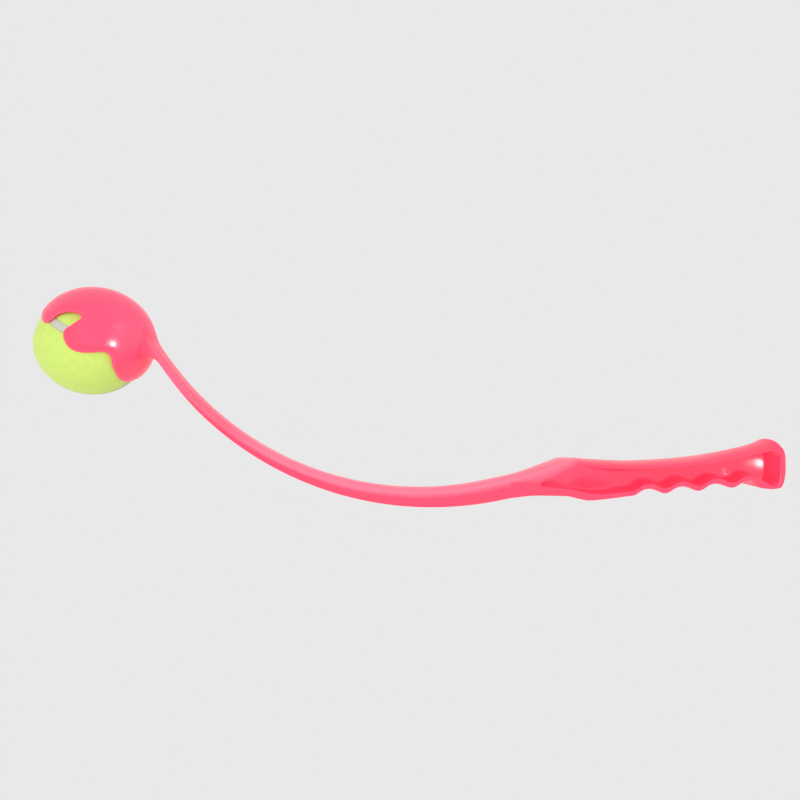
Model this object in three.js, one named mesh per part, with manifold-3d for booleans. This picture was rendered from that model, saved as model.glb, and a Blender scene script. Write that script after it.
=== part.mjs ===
// Tennis ball launcher: a scalloped cup on a thin springy arm with a finger-grooved handle, and its ball.
// Millimetres. The launcher is held upright in the XZ plane: +X runs from the ball towards the butt,
// +Z is up, and its two sides face -Y and +Y. The origin is the middle of the grip.

import * as THREE from 'three';
import { mergeVertices } from 'three/addons/utils/BufferGeometryUtils.js';
import Module from 'manifold-3d';

const wasm = await Module();
wasm.setup();

// Clearances
const seatGap = 0.3; // between pieces that are joined on the real object
const coreGap = 0.35; // between the rubber core and the felt over it
const overrun = 2; // how far a cutting shape reaches past what it cuts
const embed = 1; // how deep the arm's root stands in the cup's wall

// Ball
const ballRadius = 32.3;
const feltThickness = 2.6;
const rubberWall = 3.3;
const seamWidth = 4.4;
const seamRecess = 0.25;
const seamWaveShare = 0.755; // how much of the seam's wave is its first harmonic
const ballTurns = [62.7, -50.8, -20.9]; // degrees about X, Y and Z, for the seam's place in the cup

// Cup
const cupTilt = 47; // degrees of the cup's axis above +X, pointing to its closed back
const ballProud = 5; // how far the ball stands out of the cup's centre when the lips grip it
const lipClearance = 0.22;
const lipWall = 1.7;
const backWall = 2.4;

// Arm
const armRadius = 212.8;
const armEndAngle = 11.7; // degrees from straight down where the arc turns into the straight throat
const armHalfWidth = 7;
const rootHalfWidth = 8.5;
const neckThickness = 3.4;
const throatThickness = 14.3;
const neckWaist = 0.85; // how much of the thin end's underside is taken away
const waistStart = 25; // from the cup's foot to where the full thickness starts to come back
const waistLength = 55;
const armEdge = 1.5;
const armCrown = 5;
const rootTaper = 46; // length over which the neck narrows from its root width
const rootFillet = 13; // length of the flare that spreads the neck onto the cup
const rootFlareUnder = 7;
const rootFlareSide = 3;
const flexAngle = -40; // degrees from straight down where the arm's flexing centres
const flexRange = 12; // degrees of flex each way
const flexClearance = 0.15;

// Places: the centre of the arm's arc from the grip, and the cup from the arc
const arcCentre = new THREE.Vector2(-161.1, 196.6);
const cupAngle = -63.5; // degrees from straight down, seen from the arc's centre
const cupStandoff = 30.4; // from the arm's centre line to the cup's centre

// Handle
const handleLength = 173.7;
const handleDepth = 40;
const handleHalfWidth = 13;
const buttHalfWidth = 15.5;
const buttFlareLength = 36;
const widenStart = 8; // from the throat to where the handle starts to widen
const widenLength = 36;
const handleCrown = 3.8;
const buttCrown = 11.5;
const crownGrowth = 55; // length over which the crown deepens towards the butt
const handleEdge = 1;
const grooveCount = 4;
const groovePitch = 21.5;
const grooveDepth = 3.6;
const grooveFullness = 2.7; // above 2 the grooves are wider than the ridges between them
const grooveStart = 77.2; // from the throat to the first groove's near edge
const lastGrooveShare = 0.3; // how much of the last groove's far half is left before the butt's lip
const buttBulgeRadius = 27; // of the curve in which the butt's end falls back towards its lower corner
const buttBulgeReach = 16; // how far back from the end that curve fades out
const buttBulgeShare = 0.57; // where the curve starts, as a share of the handle's depth

// Pockets in the handle's two sides
const webThickness = 3;
const topRim = 4.1;
const bottomRim = 3.4;
const buttDip = 6.2; // how far the lower edge dips from the last groove to the butt
const buttDipEnd = 6; // where that dip ends, before the butt's end
const endWall = 3.6;
const pocketTip = 19.6; // from the throat to the pocket's pointed end
const pocketTipHeight = 9.8; // of that point above the handle's lowest level
const upperOpening = 21; // length over which the pocket opens upwards
const lowerOpening = 42; // and downwards
const scoopInset = 1.5; // how far the floor stays under the upper rim
const floorInset = 1.1; // and inside the lower rim and the end wall
const tipRadius = 1.2; // half of the tip's blunt height
const tipDepth = 1.6; // of the narrow groove that the pocket starts as
const lowerRamp = 30; // length of the slope from the tip down to the floor, along the lower side
const upperRampStart = 12; // how much further on the slope along the upper side starts
const upperRamp = 42;
const pocketCorner = 2; // radius of the corners by the end wall
const leastOpening = 0.3;

// The rim's scallops, half way round: degrees round the cup's axis from the front, and the polar
// angle of the rim from the cup's back. Front lip, front bay, side lip, rear bay, rear lip.
const rimAngles = [
  [0, 101], [30, 101], [52, 100.5], [63, 97], [66.8, 88], [68, 79], [74, 71], [82, 65.9],
  [89, 67.5], [90.3, 74.5], [87.5, 82], [87.3, 89], [93, 95], [102.5, 98.2], [112, 95.4],
  [120, 89], [127, 82], [133, 79.8], [139, 82.5], [145, 88.5], [154, 95], [166, 101], [180, 103],
];

// The handle's outline as shares of its length and of its depth, before the grooves are cut
const topShares = [
  [0, 0.3575], [0.03, 0.392], [0.092, 0.48], [0.122, 0.525], [0.168, 0.598], [0.186, 0.629], [0.2, 0.645],
  [0.216, 0.65], [0.26, 0.645], [0.307, 0.627], [0.353, 0.617], [0.445, 0.599], [0.537, 0.609],
  [0.63, 0.634], [0.722, 0.675], [0.814, 0.746], [0.906, 0.826], [0.952, 0.906], [1, 0.981],
];
const bottomShares = [
  [0, 0], [0.083, 0.043], [0.15, 0.056], [0.207, 0.058], [0.248, 0.022], [0.288, -0.005],
  [0.369, 0.027], [0.445, 0.07], [0.57, 0.111], [0.692, 0.151], [0.814, 0.201],
  [0.876, 0.225], [0.934, 0.192], [0.974, 0.192], [1, 0.217],
];

// How finely each surface is faceted
const rimSteps = 96;
const neckSteps = 14;
const armSteps = 24;
const handleSteps = 72;
const cornerSteps = 4;
const seamSteps = 64;
const feltAcross = 8;
const coreSteps = 26;
const coreRings = 6;
const shellShares = [0.13, 0.27, 0.41, 0.55, 0.69, 0.82, 0.93, 1];
const pocketEndShares = [0.15, 0.4, 0.7, 1];
const tipSpread = 0.6; // below 1 the pocket's sections stand closer together at its tip

const rad = THREE.MathUtils.degToRad;
const lerp = THREE.MathUtils.lerp;
const clamp = THREE.MathUtils.clamp;
const ease = (share) => THREE.MathUtils.smoothstep(share, 0, 1);
const ramp = (value, start, length) => clamp((value - start) / length, 0, 1);

// Sizes that follow from the driving ones
const coreRadius = ballRadius - feltThickness - coreGap;
const cupInnerRadius = Math.hypot(ballRadius + lipClearance, ballProud);
const cupOuterRadius = cupInnerRadius + lipWall;
const outerProud = ballProud + backWall - lipWall;
const cupDistance = armRadius + cupStandoff;
const cupCentre = arcCentre.clone().add(
  new THREE.Vector2(Math.sin(rad(cupAngle)), -Math.cos(rad(cupAngle))).multiplyScalar(cupDistance),
);
const cupAxis = new THREE.Vector3(Math.cos(rad(cupTilt)), 0, Math.sin(rad(cupTilt)));
const cupFront = new THREE.Vector3(-Math.sin(rad(cupTilt)), 0, Math.cos(rad(cupTilt)));
const cupSide = new THREE.Vector3(0, -1, 0);
const ballCentre = new THREE.Vector3(cupCentre.x, 0, cupCentre.y).addScaledVector(cupAxis, -outerProud);
const arcLength = armRadius * rad(armEndAngle - cupAngle);
const arcEnd = new THREE.Vector2(
  arcCentre.x + armRadius * Math.sin(rad(armEndAngle)),
  arcCentre.y - armRadius * Math.cos(rad(armEndAngle)),
);
const flexTravel = armRadius * rad(flexAngle - cupAngle);

// The throat is where the arm's straight end meets the handle's first section
const throatDrop = handleDepth * (topShares[0][1] + bottomShares[0][1]) / 2;
const throatRun = throatThickness * 0.85;
const throat = new THREE.Vector2(
  arcEnd.x + throatRun * Math.cos(rad(armEndAngle)),
  arcEnd.y + throatRun * Math.sin(rad(armEndAngle)),
);
const handleBase = throat.y - throatDrop;
const armLength = arcLength + throatRun;

// Turns a closed geometry into a solid that can be cut and joined
function toSolid(geometry) {
  const bare = geometry.clone();
  bare.deleteAttribute('normal');
  bare.deleteAttribute('uv');
  const merged = mergeVertices(bare);
  return new wasm.Manifold(new wasm.Mesh({
    numProp: 3,
    vertProperties: new Float32Array(merged.attributes.position.array),
    triVerts: new Uint32Array(merged.index.array),
  }));
}

function fromSolid(solid) {
  const mesh = solid.getMesh();
  const geometry = new THREE.BufferGeometry();
  geometry.setAttribute('position', new THREE.BufferAttribute(mesh.vertProperties, 3));
  geometry.setIndex(new THREE.BufferAttribute(mesh.triVerts, 1));
  geometry.computeVertexNormals();
  return geometry;
}

// A closed skin through rings of points. It ends in a point at each end or closes on itself.
function skin(rings, firstTip, lastTip) {
  const around = rings[0].length;
  const points = rings.flat();
  const faces = [];
  const strips = firstTip ? rings.length - 1 : rings.length;
  for (let ring = 0; ring < strips; ring += 1) {
    const here = ring * around;
    const next = ((ring + 1) % rings.length) * around;
    for (let step = 0; step < around; step += 1) {
      const beside = (step + 1) % around;
      faces.push(here + step, here + beside, next + beside);
      faces.push(here + step, next + beside, next + step);
    }
  }
  if (firstTip) {
    const last = (rings.length - 1) * around;
    points.push(firstTip, lastTip);
    for (let step = 0; step < around; step += 1) {
      const beside = (step + 1) % around;
      faces.push(points.length - 2, beside, step);
      faces.push(points.length - 1, last + step, last + beside);
    }
  }
  return outwards(new THREE.BufferGeometry().setFromPoints(points).setIndex(faces));
}

// Turns the faces round if they point inwards, which shows as a negative volume
function outwards(geometry) {
  const corners = geometry.index.array;
  const places = geometry.attributes.position;
  const [a, b, c] = [new THREE.Vector3(), new THREE.Vector3(), new THREE.Vector3()];
  let volume = 0;
  for (let face = 0; face < corners.length; face += 3) {
    a.fromBufferAttribute(places, corners[face]);
    b.fromBufferAttribute(places, corners[face + 1]);
    c.fromBufferAttribute(places, corners[face + 2]);
    volume += a.dot(b.cross(c));
  }
  if (volume < 0) {
    for (let face = 0; face < corners.length; face += 3) {
      [corners[face], corners[face + 1]] = [corners[face + 1], corners[face]];
    }
  }
  geometry.computeVertexNormals();
  return geometry;
}

function middle(ring) {
  const sum = new THREE.Vector3();
  ring.forEach((point) => sum.add(point));
  return sum.divideScalar(ring.length);
}

function capped(rings) {
  return skin(rings, middle(rings[0]), middle(rings[rings.length - 1]));
}

// Half of a moulded section, from the middle of its underside to the middle of its crowned top:
// a small rounded edge below, an upright side and a quarter ellipse above. Pairs of [out, up].
function halfSection({ halfWidth, top, bottom, edge, crownWidth, crownDepth }) {
  const points = [[0, bottom]];
  for (let step = 0; step <= cornerSteps; step += 1) {
    const turn = (step / cornerSteps) * Math.PI / 2;
    points.push([halfWidth - edge + edge * Math.sin(turn), bottom + edge - edge * Math.cos(turn)]);
  }
  for (let step = 0; step <= cornerSteps; step += 1) {
    const turn = (step / cornerSteps) * Math.PI / 2;
    points.push([
      halfWidth - crownWidth + crownWidth * Math.cos(turn),
      top - crownDepth + crownDepth * Math.sin(turn),
    ]);
  }
  points.push([0, top]);
  return points;
}

function fullSection(sizes) {
  const half = halfSection(sizes);
  const mirrored = half.slice(1, -1).reverse().map(([out, up]) => [-out, up]);
  return half.concat(mirrored);
}

// A line through hand-chosen shares of a length and a height
function outline(shares) {
  const curve = new THREE.SplineCurve(shares.map(([along, up]) => new THREE.Vector2(along, up)));
  const samples = curve.getPoints(handleSteps * cornerSteps);
  return (along) => {
    const after = samples.findIndex((point, index) => index > 0 && point.x >= along);
    const end = samples[after < 0 ? samples.length - 1 : after];
    const start = samples[(after < 0 ? samples.length - 1 : after) - 1];
    return lerp(start.y, end.y, clamp((along - start.x) / (end.x - start.x), 0, 1));
  };
}

const topLine = outline(topShares);
const bottomLine = outline(bottomShares);

// The finger grooves' depth at a distance from the throat. The last one ends early at the butt's lip.
function groove(run) {
  const turns = (run - grooveStart) / groovePitch;
  if (turns <= 0 || turns >= grooveCount) return 0;
  const past = turns - (grooveCount - 1 / 2);
  const phase = past > 0 ? 1 / 2 + Math.min(past / lastGrooveShare, 1) / 2 : turns;
  return grooveDepth * (1 - Math.abs(Math.cos(Math.PI * phase)) ** grooveFullness);
}

const handleTop = (run) => handleBase + handleDepth * topLine(run / handleLength);
const handleBottom = (run) => handleBase + handleDepth * bottomLine(run / handleLength) + groove(run);

function handleWidth(run) {
  const widened = ease(ramp(run, widenStart, widenLength));
  const flared = ease(ramp(run, handleLength - buttFlareLength, buttFlareLength));
  return lerp(armHalfWidth, handleHalfWidth, widened) + (buttHalfWidth - handleHalfWidth) * flared;
}

function handleSection(run) {
  const widened = ease(ramp(run, widenStart, widenLength));
  const halfWidth = handleWidth(run);
  const growth = ease(ramp(run, handleLength - crownGrowth, crownGrowth));
  return {
    halfWidth,
    top: handleTop(run),
    bottom: handleBottom(run),
    edge: lerp(armEdge, handleEdge, widened),
    crownWidth: lerp(armCrown, halfWidth * 0.96, widened),
    crownDepth: lerp(lerp(armCrown, handleCrown, widened), buttCrown, growth),
  };
}

// The pocket's lower edge at the rim: along the grooves, then an even dip to the butt's lower corner
function lowerEdge(run) {
  const dipStart = grooveStart + groovePitch * (grooveCount - 1 / 2);
  if (run < dipStart) return handleBottom(run) + bottomRim;
  const share = ease(ramp(run, dipStart, handleLength - buttDipEnd - dipStart));
  return handleBottom(dipStart) + bottomRim - buttDip * share;
}

// How far a rounded corner has closed at a distance before its end
function cornerRise(left) {
  const open = clamp(pocketCorner - left, 0, pocketCorner);
  return pocketCorner - Math.sqrt(pocketCorner ** 2 - open ** 2);
}

// The pocket's lower and upper level, at the rim (inset 0) or at the web (inset 1), from its blunt tip
function pocketLevels(run, inset) {
  const tip = handleBase + pocketTipHeight;
  const blunt = tipRadius * Math.sqrt(ramp(run, pocketTip, tipRadius));
  const opened = ramp(run, pocketTip, upperOpening);
  const lowered = ramp(run, pocketTip, lowerOpening);
  const corner = cornerRise(handleLength - endWall - floorInset * inset - run);
  const low = lerp(tip, lowerEdge(run), lowered) + floorInset * inset * lowered - blunt * (1 - lowered);
  const high = lerp(tip, handleTop(run) - topRim, opened) - scoopInset * inset * opened + blunt * (1 - opened);
  return [low + corner, Math.max(high - corner, low + corner + leastOpening)];
}

// How much of its depth the pocket has reached along its lower and its upper side. The upper side comes
// later, so the web rises towards the tip and towards the top.
function pocketDepthShares(run) {
  const groove = tipDepth * ramp(run, pocketTip, tipRadius) / (handleWidth(run) - webThickness / 2);
  return [
    Math.max(ease(ramp(run, pocketTip, lowerRamp)), groove),
    ease(ramp(run, pocketTip + upperRampStart, upperRamp)),
  ];
}

// One side's pocket as a solid to cut with: sections from the blunt tip, where the web rises to the
// side in a ramp, to the end wall, which slopes by the same inset as the lower wall
function pocket(side) {
  const rim = handleLength - endWall;
  const runs = [];
  const steps = Math.round(handleSteps * (rim - pocketCorner - pocketTip) / handleLength);
  for (let step = 0; step <= steps; step += 1) {
    const share = step / steps;
    runs.push(lerp(pocketTip, rim - floorInset - pocketCorner, share * lerp(share, 1, tipSpread)));
  }
  pocketEndShares.forEach((share) => runs.push(rim - floorInset - pocketCorner * (1 - share)));
  const section = (run, [lowShare, highShare]) => {
    const face = handleWidth(run) + seatGap / 2;
    const mouth = buttHalfWidth + overrun;
    const [floorLow, floorHigh] = pocketLevels(run, 1);
    const [rimLow, rimHigh] = pocketLevels(run, 0);
    const corners = [
      [lerp(face, webThickness / 2, lowShare), floorLow],
      [lerp(face, webThickness / 2, highShare), floorHigh],
      [face + seatGap / 2, rimHigh], [mouth, rimHigh], [mouth, rimLow], [face + seatGap / 2, rimLow],
    ];
    return corners.map(([out, up]) => new THREE.Vector3(run, side * out, up));
  };
  const rings = runs.map((run) => section(run, pocketDepthShares(run)));
  rings.push(section(rim, [0, 0]));
  return capped(rings);
}

// Moves a point of the handle into place: along X from the throat, with the butt's end falling back below
function handlePlace(point) {
  const level = handleBase + handleDepth * buttBulgeShare;
  const reach = ramp(point.x, handleLength - buttBulgeReach, buttBulgeReach) ** 2;
  const back = reach * Math.min(point.z - level, 0) ** 2 / (2 * buttBulgeRadius);
  return new THREE.Vector3(throat.x + point.x - back, point.y, point.z);
}

function placed(geometry) {
  const places = geometry.attributes.position;
  const point = new THREE.Vector3();
  for (let index = 0; index < places.count; index += 1) {
    const moved = handlePlace(point.fromBufferAttribute(places, index));
    places.setXYZ(index, moved.x, moved.y, moved.z);
  }
  return geometry;
}

function handleBody() {
  const rings = [];
  for (let step = 0; step <= handleSteps; step += 1) {
    const run = lerp(seatGap, handleLength, step / handleSteps);
    rings.push(fullSection(handleSection(run)).map(([out, up]) => new THREE.Vector3(run, out, up)));
  }
  const whole = toSolid(placed(capped(rings)));
  return fromSolid(whole.subtract(toSolid(placed(pocket(-1)))).subtract(toSolid(placed(pocket(1)))));
}

// A place on the arm: travel along its centre line from the cup's foot, rise towards the arc's
// centre and distance to one side. The arc runs out into a straight end, whose sections turn upright.
function armPlace(travel, rise, across) {
  if (travel <= arcLength) {
    const angle = rad(cupAngle) + travel / armRadius;
    const reach = armRadius - rise;
    return new THREE.Vector3(
      arcCentre.x + reach * Math.sin(angle),
      across,
      arcCentre.y - reach * Math.cos(angle),
    );
  }
  const past = travel - arcLength;
  const lean = rad(armEndAngle) * (1 - ease(past / throatRun));
  return new THREE.Vector3(
    arcEnd.x + past * Math.cos(rad(armEndAngle)) - rise * Math.sin(lean),
    across,
    arcEnd.y + past * Math.sin(rad(armEndAngle)) + rise * Math.cos(lean),
  );
}

function armSection(travel) {
  const share = clamp(travel / armLength, 0, 1);
  const thickness = lerp(neckThickness, throatThickness, share);
  const waist = neckWaist * (1 - ease(ramp(travel, waistStart, waistLength)));
  return {
    halfWidth: lerp(rootHalfWidth, armHalfWidth, ease(travel / rootTaper)),
    top: thickness / 2,
    bottom: waist - thickness / 2,
    edge: Math.min(armEdge, thickness / 4),
    crownWidth: Math.min(armCrown, thickness * 0.7),
    crownDepth: Math.min(armCrown, thickness * 0.45),
  };
}

// Where a line along the arm leaves the ball-shaped wall that the neck is rooted in
function rootTravel(rise, across, radius) {
  const reach = armRadius - rise;
  const slice = radius * radius - across * across;
  const cosine = (cupDistance * cupDistance + reach * reach - slice) / (2 * cupDistance * reach);
  return armRadius * Math.acos(Math.min(cosine, 1));
}

// The neck: its lines start on the cup's wall, spread over a fillet, and run to the flexing gap
function neckBody(endTravel) {
  const rings = [];
  const around = fullSection(armSection(0)).length;
  for (let step = 0; step <= neckSteps; step += 1) {
    const share = (step / neckSteps) ** 1.6;
    const ring = [];
    for (let corner = 0; corner < around; corner += 1) {
      const [rootOut, rootUp] = fullSection(armSection(0))[corner];
      const under = rootUp < 0 ? rootFlareUnder : 0;
      const spreadOut = rootOut * (1 + rootFlareSide / rootHalfWidth);
      const start = rootTravel(rootUp - under, spreadOut, cupOuterRadius - embed);
      const travel = lerp(start, endTravel, share);
      const [out, up] = fullSection(armSection(travel))[corner];
      const flare = (1 - ramp(travel, start, rootFillet)) ** 2;
      ring.push(armPlace(travel, up - under * flare, out * (1 + rootFlareSide / rootHalfWidth * flare)));
    }
    rings.push(ring);
  }
  const hub = new THREE.Vector3(cupCentre.x, 0, cupCentre.y);
  const foot = middle(rings[0]).sub(hub).setLength(cupOuterRadius - embed).add(hub);
  return skin(rings, foot, middle(rings[rings.length - 1]));
}

function armBody(startTravel) {
  const rings = [];
  for (let step = 0; step <= armSteps; step += 1) {
    const travel = lerp(startTravel, armLength, step / armSteps);
    const ring = fullSection(armSection(travel));
    rings.push(ring.map(([out, up]) => armPlace(travel, up, out)));
  }
  return capped(rings);
}

// The rim's scalloped curve all the way round, in even steps along it
function rimCurve() {
  const half = rimAngles.map(([turn, polar]) => new THREE.Vector2(turn, polar));
  const other = half.slice(1).reverse().map((point) => new THREE.Vector2(-point.x, point.y));
  const curve = new THREE.SplineCurve(other.concat(half));
  return curve.getSpacedPoints(rimSteps).slice(0, rimSteps);
}

// A point of the cup's wall. The wall is a sphere down to the ball's equator when gripped, and runs
// straight on from there, so that the rigid lips let the ball slide out.
function cupPoint(radius, proud, polar, turn) {
  const equator = Math.acos(-proud / radius);
  const bent = Math.min(polar, equator);
  const along = proud + radius * Math.cos(bent) - radius * (polar - bent);
  const out = radius * Math.sin(bent);
  return ballCentre.clone()
    .addScaledVector(cupAxis, along)
    .addScaledVector(cupFront, out * Math.cos(turn))
    .addScaledVector(cupSide, out * Math.sin(turn));
}

function cupShell() {
  const rim = rimCurve();
  const layer = (radius, proud, share) => rim.map((point, index) => {
    const even = rad(-180 + 360 * index / rimSteps);
    return cupPoint(radius, proud, rad(point.y) * share, lerp(even, rad(point.x), share * share));
  });
  const outside = shellShares.map((share) => layer(cupOuterRadius, outerProud, share));
  const inside = [...shellShares].reverse().map((share) => layer(cupInnerRadius, ballProud, share));
  return skin(
    outside.concat(inside),
    cupPoint(cupOuterRadius, outerProud, 0, 0),
    cupPoint(cupInnerRadius, ballProud, 0, 0),
  );
}

// Half of the ball's rubber core: a bowl turned about Z
function coreHalf() {
  const profile = [];
  const rimAngle = (radius) => Math.asin(seatGap / 2 / radius);
  for (const [radius, way] of [[coreRadius, 1], [coreRadius - rubberWall, -1]]) {
    for (let ring = 0; ring <= coreRings; ring += 1) {
      const share = way > 0 ? ring / coreRings : 1 - ring / coreRings;
      const rise = lerp(Math.PI / 2, rimAngle(radius), share);
      const out = share === 0 ? 0 : radius * Math.cos(rise);
      profile.push(new THREE.Vector2(out, radius * Math.sin(rise)));
    }
  }
  const bowl = new THREE.LatheGeometry(profile, coreSteps).rotateX(Math.PI / 2);
  return fromSolid(toSolid(outwards(mergedOf(bowl))));
}

function mergedOf(geometry) {
  geometry.deleteAttribute('normal');
  geometry.deleteAttribute('uv');
  return mergeVertices(geometry);
}

// The seam of a tennis ball on the unit sphere: one closed wave with four lobes
function seamDirection(turn) {
  const first = seamWaveShare;
  const third = 1 - seamWaveShare;
  return new THREE.Vector3(
    first * Math.cos(turn) + third * Math.cos(3 * turn),
    first * Math.sin(turn) - third * Math.sin(3 * turn),
    2 * Math.sqrt(first * third) * Math.sin(2 * turn),
  ).normalize();
}

// The same wave moved sideways over the sphere by a distance at the ball's surface
function besideSeam(turn, aside) {
  const nudge = 0.001;
  const here = seamDirection(turn);
  const along = seamDirection(turn + nudge).sub(seamDirection(turn - nudge));
  const across = new THREE.Vector3().crossVectors(here, along).normalize();
  const angle = aside / ballRadius;
  return here.multiplyScalar(Math.cos(angle)).addScaledVector(across, Math.sin(angle));
}

function ballSeam() {
  const outer = ballRadius - seamRecess;
  const inner = coreRadius + coreGap;
  const rings = [];
  for (let step = 0; step < seamSteps; step += 1) {
    const turn = 2 * Math.PI * step / seamSteps;
    const near = besideSeam(turn, seamWidth / 2);
    const mid = seamDirection(turn);
    const far = besideSeam(turn, -seamWidth / 2);
    rings.push([
      near.clone().multiplyScalar(outer),
      mid.clone().multiplyScalar(outer),
      far.clone().multiplyScalar(outer),
      far.clone().multiplyScalar(inner),
      mid.clone().multiplyScalar(inner),
      near.clone().multiplyScalar(inner),
    ]);
  }
  return skin(rings);
}

// One dog-bone felt panel: rungs across it from the seam on one side to the seam on the other
function feltPanel() {
  const inner = coreRadius + coreGap;
  const aside = seamWidth / 2 + seatGap;
  const rungs = seamSteps / 2;
  const rings = [];
  const tips = [];
  for (let rung = 0; rung <= rungs; rung += 1) {
    const swing = Math.PI * (rung / rungs - 1 / 2);
    const start = besideSeam(Math.PI / 4 + swing, aside);
    const end = besideSeam(5 * Math.PI / 4 - swing, aside);
    if (rung === 0 || rung === rungs) {
      tips.push(start.clone().multiplyScalar(lerp(inner, ballRadius, 1 / 2)));
      continue;
    }
    const angle = start.angleTo(end);
    const outside = [];
    for (let step = 0; step <= feltAcross; step += 1) {
      const share = step / feltAcross;
      outside.push(start.clone().multiplyScalar(Math.sin((1 - share) * angle) / Math.sin(angle))
        .addScaledVector(end, Math.sin(share * angle) / Math.sin(angle)));
    }
    const inside = [...outside].reverse();
    rings.push([
      ...outside.map((point) => point.clone().multiplyScalar(ballRadius)),
      ...inside.map((point) => point.clone().multiplyScalar(inner)),
    ]);
  }
  return skin(rings, tips[0], tips[1]);
}

// The gap that lets the cup's end turn about its middle without touching the arm
function flexGap() {
  const section = armSection(flexTravel);
  const thickness = section.top - section.bottom;
  return thickness * Math.tan(rad(flexRange) / 2) + flexClearance;
}

const pink = { color: 0xff5a7d, roughness: 0.28, metalness: 0 };
const rubber = { color: 0x9fa08c, roughness: 0.75, metalness: 0 };
const felt = { color: 0xd6f08a, roughness: 0.95, metalness: 0 };
const seam = { color: 0xd2d3c0, roughness: 0.6, metalness: 0 };

function piece(name, geometry, look) {
  const mesh = new THREE.Mesh(geometry, new THREE.MeshStandardMaterial(look));
  mesh.name = name;
  return mesh;
}

const launcher = new THREE.Group();
const neck = neckBody(flexTravel - flexGap() / 2);
launcher.add(piece('cup', fromSolid(toSolid(cupShell()).add(toSolid(neck))), pink));
launcher.add(piece('arm', armBody(flexTravel + flexGap() / 2), pink));
launcher.add(piece('handle', handleBody(), pink));

// The ball's two rubber halves and two felt panels are the same piece turned half round
const ball = new THREE.Group();
ball.position.copy(ballCentre);
ball.rotation.set(...ballTurns.map(rad));
for (const [name, turn] of [['a', 0], ['b', Math.PI]]) {
  const core = piece(`rubber_core_${name}`, coreHalf(), rubber);
  const panel = piece(`felt_panel_${name}`, feltPanel(), felt);
  core.rotation.x = turn;
  panel.rotation.x = turn;
  ball.add(core, panel);
}
ball.add(piece('ball_seam', ballSeam(), seam));

const whole = new THREE.Group();
whole.add(launcher, ball);

export default whole;
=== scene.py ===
"""Tennis ball launcher: one glossy pink moulding (cup, arm and handle) and a felt ball, over the CAD frame.

The shapes are worked out in millimetres until a mesh is made. The camera, the lamps and the materials are in
metres. The frame's origin is the middle of the grip, +X runs from the ball to the butt, +Z is up, and the
launcher mirrors across the plane y = 0.

A travel is a distance along the arm's middle line from the cup. A run is one along the handle from the
throat, where the arm ends. Across a section, out is the distance from the middle plane and up the height.
"""

import math

import bpy
import numpy as np
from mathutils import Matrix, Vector


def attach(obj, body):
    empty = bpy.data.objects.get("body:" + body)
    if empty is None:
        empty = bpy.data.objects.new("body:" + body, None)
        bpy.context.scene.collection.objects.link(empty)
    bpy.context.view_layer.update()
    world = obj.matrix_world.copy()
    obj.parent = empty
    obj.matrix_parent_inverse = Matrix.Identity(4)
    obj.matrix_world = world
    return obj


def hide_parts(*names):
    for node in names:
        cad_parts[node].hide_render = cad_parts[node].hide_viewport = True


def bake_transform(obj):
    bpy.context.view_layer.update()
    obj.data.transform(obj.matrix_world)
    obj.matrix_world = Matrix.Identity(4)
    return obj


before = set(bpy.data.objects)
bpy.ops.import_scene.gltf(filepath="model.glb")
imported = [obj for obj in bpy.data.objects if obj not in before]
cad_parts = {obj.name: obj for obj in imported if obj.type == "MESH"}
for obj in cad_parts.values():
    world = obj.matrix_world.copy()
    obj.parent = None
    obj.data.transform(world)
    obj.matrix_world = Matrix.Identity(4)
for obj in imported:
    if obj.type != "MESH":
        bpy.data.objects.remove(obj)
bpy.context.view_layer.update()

MM = 0.001

# The ball
BALL_RADIUS = 32.3
FELT_THICKNESS = 2.6
FELT_EDGE_SHARES = [0.96, 0.975, 0.985, 0.993, 1.0]  # of the way to the seam, where its edge rolls down
FELT_EDGE_DROPS = [0.01, 0.03, 0.07, 0.12, 0.2]  # how far it has sunk at each of them
SEAM_WIDTH = 5.2
SEAM_RECESS = 0.2
SEAM_GAP = 0.05  # between the felt and the cement
SEAM_WAVE = 0.755  # the first harmonic's share of the seam's curve
SEAM_PROFILE = [(-1, -0.12), (-0.8, -0.03), (-0.4, 0), (0, 0.02), (0.4, 0), (0.8, -0.03), (1, -0.12)]
BALL_TURNS = (62.7, -50.8, -20.9)  # degrees about x, y and z

# The cup
CUP_TILT = 47.0  # degrees from +X up to the middle of its back
BALL_PROUD = 5.0  # how far the ball's centre lies in front of the centre of the cup's inner wall
LIP_CLEARANCE = 0.22
LIP_WALL = 1.7
BACK_WALL = 2.4
RIM_ROUND = 1.1
RIM_SHARPNESS = 0.97  # how much of the wall's thickness the rim's round takes
RIM_THINNING = 0.7  # of the wall towards its edge
RIM_THINNING_LENGTH = 3.5
RIM_HIGHLIGHT = 0.16  # how much of the paler pink, a painted highlight, the rim's edge has
RIM_POINTS = 420
# The rim's outline: degrees round the cup from its front, and degrees down from the middle of its back
RIM = [
    (0, 101), (30, 101), (52, 100.5), (63, 97), (66.8, 88), (68, 79), (74, 71), (82, 65.9),
    (89, 67.5), (90.3, 74.5), (87.5, 82), (87.3, 89), (93, 95), (102.5, 98.2), (112, 95.4),
    (120, 89), (127, 82), (133, 79.8), (139, 82.5), (145, 88.5), (154, 95), (166, 101), (180, 103),
]

# The arm, an arc round a centre above it. Angles are from straight down, towards the butt
ARC_CENTRE = (-161.1, 196.6)
ARM_RADIUS = 212.8
CUP_ANGLE = -63.5
FLEX_ANGLE = -40.0
ARM_END_ANGLE = 11.7
CUP_STANDOFF = 30.4  # from the arc out to the cup's centre
ARM_HALF_WIDTH = 7.0
NECK_THICKNESS = 3.4
THROAT_THICKNESS = 14.3
NECK_WAIST = 0.85  # how much its underside is hollowed behind the root
WAIST_START = 25.0
WAIST_LENGTH = 55.0
ARM_EDGE = 1.5
ARM_CROWN = 5.0
ARM_LIP = 0.7  # the handle's pocket has closed here, and its lines lie along the side
ARM_FILLET = 1.2

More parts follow.
